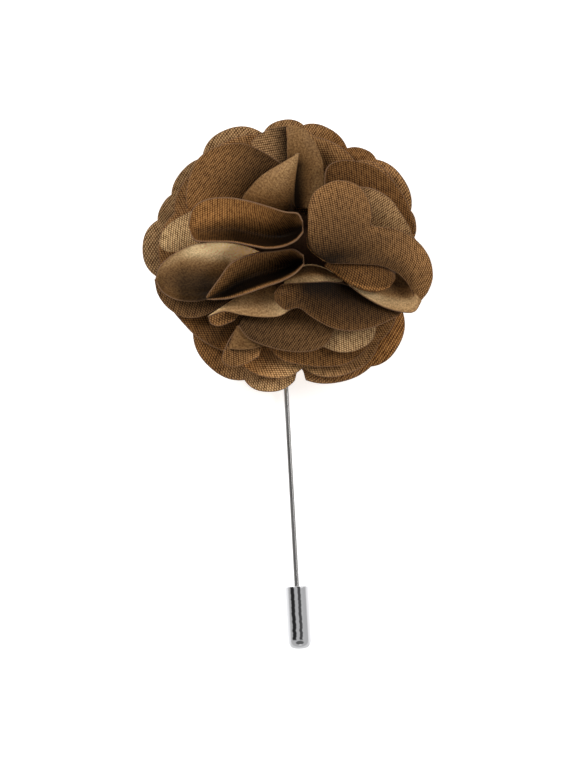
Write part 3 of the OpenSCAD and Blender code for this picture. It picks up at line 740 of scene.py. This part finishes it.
# Painted shade darkens both petals towards their inner ends, under the petals in front.
cloth("petal_right_mid_sheet", ["petal_right_mid"], 60, [
    petal(
        petal_right_mid_rows, FACE_UP, warmth=0.2,
        painted_light=tones(
            level=((0, 1.0), (0.3, 1.6), (0.8, 1.7), (1, 1.0)),
            dark_across=((0, 0), (0.3, 0), (0.8, 0.6), (1, 0.6)),
        ),
    ),
])
cloth("petal_right_back_sheet", ["petal_right_back"], 4, [
    petal(
        petal_right_back_rows, FACE_UP, warmth=1.0,
        painted_light=tones(
            level=((0, 0.55), (0.4, 0.7), (1, 0.85)),
            dark_across=((0, 0.05), (0.2, 0.15), (0.45, 0.4), (1, 0.6)),
        ),
    ),
])

# At the top a petal lies nearly flat, and beside it turns over as a long strip that shows its
# tan reverse. The two are one cut of satin, sewn at the knot.
petal_top_turn_rows = [
    [-2.0, 21.8, 12.5, 0.3, 0.7, 21.3, 12.5],
    [-2.1, 19.2, 12.8, 0.5, 2.6, 19.0, 12.2],
    [-2.1, 16.5, 12.8, 0.3, 3.9, 16.1, 11.8],
    [-1.9, 13.7, 12.3, -0.2, 4.3, 13.2, 11.2],
    [-1.4, 10.6, 11.3, -0.4, 4.0, 10.2, 10.6],
    [-0.7, 7.5, 10.3, -0.3, 2.6, 7.4, 10.0],
]
petal_top_rows = [
    [-8.4, 18.9, 11.0, 0.2, -3.4, 7.8, 9.7],
    [-6.9, 20.2, 10.9, 0.4, -2.8, 7.9, 9.7],
    [-4.8, 21.3, 10.8, 0.4, -2.2, 8.0, 9.6],
    [-2.3, 21.7, 10.6, 0.2, -1.6, 8.1, 9.5],
]
# Painted shadow darkens the lower half of the strip along its edge beside the spike, and the flat petal
# is painted darker towards the strip.
cloth("petal_top_sheet", ["petal_top", "petal_top_turn"], 85, [
    petal(
        petal_top_turn_rows, REVERSE_UP, warmth=0.3,
        painted_light=tones(
            level=((0, 0.7), (0.3, 0.6), (0.6, 0.7), (0.8, 0.85), (1, 0.9)),
            dark_across=((0, 0.985), (0.24, 0.96), (0.38, 0.78), (0.56, 0.35), (0.78, 0), (1, 0)),
            dark_along=((0, 0), (0.28, 0.1), (0.4, 0.5), (0.5, 1), (1, 1)),
        ),
    ),
    petal(
        petal_top_rows, FACE_UP, warmth=0.2,
        painted_light=tones(
            level=((0, 1.4), (0.5, 1.3), (0.75, 0.95), (0.9, 0.5), (1, 0.15)),
            dark_across=((0, 0), (0.4, 0), (0.8, 0.4)),
        ),
    ),
])

# A pointed satin petal stands folded along its middle and shows its reverse. Its inner edge
# goes down between the petals beside it, to where it is sewn.
petal_spike_rows = [
    [-0.7, 16.4, 20.2, 0.0, -0.3, 16.7, 20.2, 2.0],
    [-2.8, 15.1, 19.0, 0.4, -0.6, 15.1, 19.8, 3.0],
    [-6.3, 13.0, 17.6, 0.9, -1.0, 12.7, 18.8, 4.0],
    [-8.5, 10.8, 16.4, 1.1, -1.3, 10.3, 17.6, 4.2],
    [-9.8, 8.9, 15.5, 1.0, -1.4, 7.9, 16.0, 3.2],
    [-9.3, 6.4, 14.2, 0.6, -1.6, 5.6, 14.0, 1.0],
    [-7.4, 4.4, 13.2, 0.2, -2.6, 4.0, 12.9, 0.3],
]
# Painted shade darkens the spike towards its lower end and its inner edge, where it goes down between the
# petals.
cloth("petal_spike_sheet", ["petal_spike"], 30, [
    petal(
        petal_spike_rows, REVERSE_UP, way=(0.3, 0), warmth=0.3,
        painted_light=tones(
            level=((0, 0.95), (0.2, 0.92), (0.5, 0.72), (0.63, 0.52), (0.76, 0.22), (1, 0.1)),
            dark_across=((0, 0.25), (0.2, 0.1), (0.4, 0), (0.6, 0.25), (0.7, 0.6), (1, 0.95)),
        ),
    ),
])

# The upper left petals are cuts of satin, sewn at the knot: a broad one that lies back, a
# small pale one and, in front, a deep scoop whose lower lip curls up towards the middle.
petal_upper_left_rows = [
    [-19.3, 6.2, 12.6, 0.2, -8.6, 2.6, 11.9],
    [-19.6, 9.3, 13.0, 0.8, -8.0, 3.3, 11.8],
    [-19.0, 12.7, 13.3, 1.2, -7.3, 3.9, 11.8],
    [-17.4, 16.0, 13.6, 1.4, -6.7, 4.4, 11.7],
    [-14.1, 18.1, 13.8, 1.5, -6.0, 4.9, 11.6],
    [-9.9, 18.6, 13.8, 1.4, -5.2, 5.5, 11.5],
    [-6.5, 17.3, 14.0, 1.0, -4.3, 6.2, 11.4],
    [-3.3, 15.3, 14.2, 0.5, -3.2, 7.0, 11.3],
]
petal_left_small_rows = [
    [-18.7, 6.9, 14.4, 0.3, -10.4, 4.4, 14.0],
    [-21.6, 5.3, 14.0, 0.6, -10.4, 4.0, 14.0],
    [-23.5, 3.6, 13.6, 0.8, -10.4, 3.5, 14.0],
    [-24.2, 1.5, 13.1, 0.8, -10.4, 3.0, 14.0],
    [-23.3, 0.1, 12.7, 0.6, -10.4, 2.5, 13.9],
    [-21.1, -0.2, 12.7, 0.2, -10.4, 2.1, 13.8],
]
petal_upper_scoop_rows = [
    [-19.1, 4.3, 17.0, -0.2, -18.7, 3.0, 16.9, -0.3],
    [-18.3, 7.2, 17.5, -1.4, -17.6, 1.9, 17.6, -0.5],
    [-16.2, 8.7, 18.5, -2.6, -14.4, 1.8, 18.6, -0.7],
    [-12.6, 9.1, 19.5, -3.6, -11.4, 1.7, 19.5, -0.9],
    [-8.8, 8.5, 20.3, -5.0, -8.4, 1.1, 20.4, -1.1],
    [-5.3, 7.5, 21.0, -5.8, -5.6, 0.6, 21.5, -1.2],
    [-2.5, 6.6, 21.6, -5.8, -2.8, 0.9, 22.1, -1.2],
    [-0.3, 6.3, 22.2, -4.2, -0.6, 1.9, 22.5, -1.0],
    [0.55, 5.0, 22.9, -1.2, 0.65, 3.3, 22.9, -0.5],
]
# Painted shade darkens the broad petal towards its right end and its inner edge, under the petals in
# front.
cloth("petal_upper_left_sheet", ["petal_upper_left"], 45, [
    petal(
        petal_upper_left_rows, FACE_UP, warmth=0.8,
        painted_light=tones(
            level=(
                (0, 0.95), (0.2, 1.1), (0.5, 0.98), (0.62, 0.8), (0.75, 0.52), (0.85, 0.36), (1, 0.32),
            ),
            dark_across=((0, 0), (0.2, 0.05), (0.4, 0.42), (0.6, 0.58), (1, 0.7)),
        ),
    ),
])
cloth("petal_left_small_sheet", ["petal_left_small"], 10, [
    petal(
        petal_left_small_rows, FACE_UP, warmth=0.0,
        painted_light=tones(level=((0, 1.9), (0.5, 2.2), (1, 2.9))),
    ),
])
# Painted shade makes the scoop's hollow nearly black, and a painted highlight lies along its curled lower
# lip.
cloth("petal_upper_scoop_sheet", ["petal_upper_scoop"], 4, [
    petal(
        petal_upper_scoop_rows, FACE_UP, way=(0, -0.3), both_edges=True, bend_at=0.72, warmth=1.0,
        painted_light=tones(
            level=(
                (0, 1.2), (0.3, 2.0), (0.5, 2.3), (0.62, 1.8), (0.72, 1.1), (0.8, 0.75), (0.9, 0.55),
                (1, 0.5),
            ),
            dark_across=(
                (0, 0.3), (0.12, 0.22), (0.26, 0.05), (0.36, 0.4), (0.46, 0.84), (0.54, 0.955),
                (0.94, 0.965), (0.97, 0.5), (1, -0.8),
            ),
            dark_along=((0, 0.3), (0.15, 0.75), (0.28, 0.92), (0.4, 1), (1, 1)),
            lean=0.34,
        ),
    ),
])

# The left petals are sewn at the knot too: a satin scoop that shows its pale reverse, and the
# layer that it lies on, which shows its face.
petal_left_scoop_rows = [
    [-24.9, -4.8, 13.4, -0.1, -24.4, -5.9, 13.2],
    [-24.0, -2.6, 14.4, -1.0, -23.4, -7.3, 12.9],
    [-21.4, -0.4, 15.2, -1.3, -21.0, -8.5, 12.6],
    [-17.6, 1.2, 16.0, -1.4, -17.4, -8.7, 12.4],
    [-13.2, 1.5, 15.6, -1.1, -13.6, -7.6, 12.3],
    [-9.3, 0.9, 14.8, -0.8, -9.9, -5.8, 12.0],
    [-6.5, -0.2, 14.4, -0.6, -7.2, -4.1, 11.4],
]
petal_left_under_rows = [
    [-25.1, -4.9, 10.3, 0.0, -9.5, -1.4, 9.9],
    [-24.5, -7.5, 10.2, 0.3, -9.1, -2.1, 9.9],
    [-22.8, -9.8, 10.1, 0.4, -8.7, -2.8, 9.9],
    [-20.2, -11.4, 10.1, 0.4, -8.3, -3.4, 9.9],
    [-17.2, -11.4, 10.4, 0.4, -7.9, -4.0, 9.9],
    [-14.4, -10.1, 10.6, 0.3, -7.5, -4.6, 9.9],
    [-12.3, -8.4, 10.6, 0.1, -7.1, -5.2, 9.9],
]
# Painted shade darkens its hollow towards the lower lip, and towards its right end, where the scoop above
# shades it, it is painted up to five times brighter.
cloth("petal_left_scoop_sheet", ["petal_left_scoop"], -35, [
    petal(
        petal_left_scoop_rows, REVERSE_UP, both_edges=True, bend_at=0.75, warmth=0.3,
        painted_light=tones(
            level=((0, 0.6), (0.2, 0.85), (0.38, 1.25), (0.5, 2.3), (0.62, 3.5), (0.75, 4.5), (1, 5)),
            dark_across=(
                (0, 0.2), (0.06, 0), (0.15, 0.1), (0.25, 0.52), (0.4, 0.81), (0.6, 0.94), (0.8, 0.985),
                (1, 0.98),
            ),
            dark_along=(
                (0, 0.4), (0.2, 0.55), (0.38, 0.93), (0.55, 1), (0.7, 0.98), (0.8, 0.5), (1, 0.4),
            ),
        ),
    ),
])
# Painted shadow darkens its right end under the pocket, and its inner part.
cloth("petal_left_under_sheet", ["petal_left_under"], 20, [
    petal(
        petal_left_under_rows, FACE_UP, warmth=0.6,
        painted_light=tones(
            level=((0, 0.75), (0.6, 0.65), (0.85, 0.35), (1, 0.15)),
            dark_across=((0, 0), (0.2, 0.2), (0.4, 0.8)),
        ),
    ),
])

# The pocket is a satin petal rolled to a deep dark boat shape with both of its edges up. It
# is held by its right end, at the knot.
petal_pocket_rows = [
    [-16.1, -8.0, 15.5, 0.0, -15.8, -8.5, 15.4],
    [-13.9, -5.0, 16.9, -2.2, -12.3, -8.3, 16.8],
    [-11.6, -2.1, 17.6, -3.8, -9.3, -7.5, 18.2],
    [-7.8, -0.5, 17.4, -4.6, -6.2, -6.4, 19.4],
    [-4.2, -0.1, 17.8, -5.8, -3.0, -5.3, 20.4],
    [-1.2, 0.2, 19.4, -6.2, -0.7, -4.0, 21.0],
    [0.7, -0.9, 20.9, -2.2, 0.8, -2.5, 21.2],
]
# Painted shade makes the inside of the pocket nearly black, and a painted highlight lies along its lower
# edge.
cloth("petal_pocket_sheet", ["petal_pocket"], 0, [
    petal(
        petal_pocket_rows, FACE_UP, both_edges=True, bend_at=0.6, warmth=0.8,
        painted_light=tones(
            level=((0, 0.9), (0.4, 1.1), (0.65, 1.0), (0.85, 0.75), (1, 0.6)),
            dark_across=(
                (0, 0), (0.15, 0.08), (0.3, 0.45), (0.42, 0.86), (0.52, 0.982), (0.84, 0.982),
                (0.9, 0.7), (0.95, 0), (1, -0.5),
            ),
            dark_along=((0, 0.9), (0.15, 1), (1, 1)),
            lean=0.15,
        ),
    ),
])

# Under the pocket a satin petal turns over: its tan reverse waves across, and its small end
# shows the face. Both are one cut, sewn at the knot.
petal_lower_turn_rows = [
    [-15.8, -11.4, 14.0, 0.0, -8.6, -6.6, 13.0],
    [-12.9, -10.5, 14.5, 0.3, -7.6, -6.0, 13.0],
    [-9.9, -11.1, 15.0, 0.6, -6.4, -5.4, 12.9],
    [-6.5, -11.5, 15.5, 0.8, -4.9, -4.7, 12.8],
    [-3.4, -11.3, 16.0, 0.8, -3.2, -4.2, 12.7],
    [-1.0, -9.9, 16.0, 0.6, -1.4, -3.9, 12.6],
]
petal_lower_small_rows = [
    [-15.7, -11.5, 12.5, 0.1, -9.6, -7.6, 11.4],
    [-15.3, -12.6, 12.5, 0.3, -9.2, -7.9, 11.4],
    [-13.7, -13.0, 12.6, 0.3, -8.8, -8.2, 11.4],
    [-11.3, -12.1, 12.7, 0.1, -8.3, -8.4, 11.4],
]
# Painted shade darkens the turn inwards, most towards its right end, and its left end is painted
# brightest.
cloth("petal_lower_turn_sheet", ["petal_lower_turn", "petal_lower_small"], 10, [
    petal(
        petal_lower_turn_rows, REVERSE_UP, warmth=0.3,
        painted_light=tones(
            level=((0, 1.6), (0.15, 1.0), (0.5, 0.85), (0.7, 1.05), (0.85, 1.35), (1, 1.1)),
            dark_across=((0, 0.05), (0.2, 0), (0.5, 0.2), (0.8, 0.8)),
            dark_along=((0, 0.5), (0.4, 0.5), (0.7, 1), (1, 1)),
        ),
    ),
    petal(petal_lower_small_rows, FACE_UP, warmth=0.8, painted_light=0.9),
])

# The lower right petal of satin starts in a small roll and falls away to the right. The strip
# behind it is its own edge, turned over, so the two are one cut.
petal_lower_right_rows = [
    [-4.3, -7.4, 18.3, 0.1, -4.1, -8.8, 18.2],
    [-2.9, -5.9, 18.6, 1.0, -2.4, -10.2, 18.0],
    [-0.3, -5.6, 18.6, 1.2, 0.0, -9.9, 17.6],
    [2.4, -5.4, 18.2, 0.8, 2.4, -11.6, 16.8],
    [5.6, -5.3, 16.4, 0.3, 5.8, -13.4, 16.0],
    [8.6, -6.0, 13.4, 0.4, 9.3, -13.9, 14.8],
    [12.0, -7.6, 11.9, 0.4, 13.0, -13.2, 13.4],
    [15.8, -9.0, 10.8, 0.2, 16.5, -11.6, 11.6],
    [17.2, -9.8, 10.4, 0.0, 17.8, -10.6, 10.6],
]
petal_lower_strip_rows = [
    [-2.2, -4.4, 15.0, 0.3, -2.8, -6.3, 16.8],
    [-0.5, -3.2, 14.6, 0.3, -0.7, -5.9, 16.8],
    [1.6, -2.4, 14.2, 0.3, 1.9, -5.7, 16.6],
    [4.2, -2.9, 13.6, 0.2, 4.9, -5.5, 15.0],
    [7.2, -4.7, 12.8, 0.1, 7.6, -5.4, 13.6],
]
# Painted shadow darkens the lower right petal under the strip, and its inner edge is painted lighter. The
# strip has a painted highlight along its rim and is painted darker just inside it.
cloth("petal_lower_right_sheet", ["petal_lower_right", "petal_lower_strip"], 4, [
    petal(
        petal_lower_right_rows, FACE_UP, both_edges=True, warmth=0.9,
        painted_light=tones(
            level=((0, 0.5), (0.2, 0.5), (0.35, 0.36), (1, 0.36)),
            dark_across=(
                (0, 0.95), (0.28, 0.8), (0.5, 0.4), (0.75, 0.1), (0.88, -0.15), (0.95, -0.5), (1, -0.5),
            ),
            dark_along=((0, 0), (0.16, 0.4), (0.32, 1), (1, 1)),
        ),
    ),
    petal(
        petal_lower_strip_rows, REVERSE_UP, warmth=0.3,
        painted_light=tones(
            level=((0, 1.15), (0.8, 1.4), (1, 1.4)),
            dark_across=((0, -1.5), (0.05, -1.5), (0.09, 0.82), (0.45, 0.75), (0.7, 0.15), (1, 0)),
        ),
    ),
])

# The bottom petals are plain cuts of satin that lie one under another, like shingles, sewn at
# the knot. The last one folds over at its left end, where a small corner of its tan reverse
# lies on its face.
petal_bottom_front_rows = [
    [-10.6, -13.0, 13.2, 0.1, -6.6, -7.0, 11.4],
    [-8.6, -15.3, 13.4, 0.6, -4.8, -6.9, 11.3],
    [-4.8, -16.8, 13.6, 0.9, -2.8, -6.8, 11.2],
    [-1.0, -17.5, 13.7, 1.0, -0.8, -6.8, 11.2],
    [2.4, -17.3, 13.6, 1.0, 1.2, -6.8, 11.2],
    [4.9, -16.0, 13.4, 0.7, 3.2, -6.6, 11.2],
    [6.1, -13.6, 13.2, 0.2, 4.8, -6.4, 11.2],
]
petal_bottom_light_rows = [
    [3.2, -16.2, 12.0, 0.1, 5.0, -9.6, 11.0],
    [6.2, -17.4, 12.0, 0.4, 5.8, -9.3, 11.0],
    [8.9, -17.5, 12.0, 0.6, 6.6, -8.9, 11.0],
    [11.5, -16.5, 11.9, 0.5, 7.4, -8.4, 11.0],
    [13.0, -14.9, 11.8, 0.3, 8.2, -7.8, 11.0],
    [13.4, -12.7, 11.6, 0.1, 8.9, -7.1, 11.0],
]
petal_bottom_mid_rows = [
    [-5.6, -16.2, 9.9, 0.1, -3.4, -8.4, 9.5],
    [-3.1, -18.8, 10.5, 0.4, -2.0, -8.6, 9.6],
    [0.7, -19.8, 10.4, 0.5, -0.2, -8.7, 9.6],
    [4.5, -20.1, 10.4, 0.5, 1.8, -8.7, 9.6],
    [8.2, -19.6, 10.3, 0.5, 3.8, -8.4, 9.6],
    [11.0, -17.7, 10.3, 0.3, 5.6, -7.8, 9.6],
    [12.7, -15.2, 10.2, 0.1, 7.2, -7.0, 9.6],
]
petal_bottom_fold_rows = [
    [-12.2, -15.6, 11.8, 0.0, -8.6, -8.9, 10.2],
    [-13.4, -18.6, 11.6, 0.7, -7.6, -9.4, 10.3],
    [-12.2, -20.0, 11.4, 1.0, -6.6, -9.9, 10.3],
    [-9.6, -19.7, 11.4, 0.9, -5.6, -10.3, 10.3],
    [-7.0, -18.3, 11.8, 0.4, -4.6, -10.6, 10.6],
]
petal_fold_reverse_rows = [
    [-12.3, -16.9, 12.3, 0.0, -10.7, -12.9, 12.6],
    [-10.2, -17.1, 12.6, 0.1, -10.2, -13.2, 12.7],
    [-8.0, -16.9, 12.6, 0.1, -9.4, -13.6, 12.6],
    [-5.7, -16.3, 12.3, 0.0, -8.4, -14.0, 12.4],
]
# Their painted shade and highlights make each one lighter or darker along its length and inwards.
cloth("petal_bottom_front_sheet", ["petal_bottom_front"], 40, [
    petal(
        petal_bottom_front_rows, FACE_UP, warmth=0.6,
        painted_light=tones(
            level=((0, 0.34), (0.3, 0.48), (0.6, 0.6), (1, 0.72)),
            dark_across=((0, 0.15), (0.3, 0.12), (0.6, -0.15), (1, -0.35)),
        ),
    ),
])
cloth("petal_bottom_light_sheet", ["petal_bottom_light"], 0, [
    petal(
        petal_bottom_light_rows, FACE_UP, warmth=0.0,
        painted_light=tones(level=((0, 1.7), (0.6, 1.8), (1, 1.7))),
    ),
])
cloth("petal_bottom_mid_sheet", ["petal_bottom_mid"], 0, [
    petal(
        petal_bottom_mid_rows, FACE_UP, warmth=0.9,
        painted_light=tones(level=((0, 2.0), (0.15, 1.3), (0.5, 0.8), (0.8, 0.65), (1, 0.6))),
    ),
])
cloth("petal_bottom_fold_sheet", ["petal_bottom_fold"], 0, [
    petal(
        petal_bottom_fold_rows, FACE_UP, warmth=0.7,
        painted_light=tones(
            level=((0, 1.1), (0.3, 0.85), (0.5, 0.9), (0.7, 1.0), (1, 1.3)),
            dark_across=((0, 0), (0.2, 0.1), (0.45, 0.6), (1, 0.75)),
        ),
    ),
    petal(
        petal_fold_reverse_rows, REVERSE_UP, warmth=0.3,
        painted_light=tones(level=((0, 0.55), (0.5, 0.45), (1, 0.35)), dark_across=((0, 0), (1, 0.2))),
    ),
])
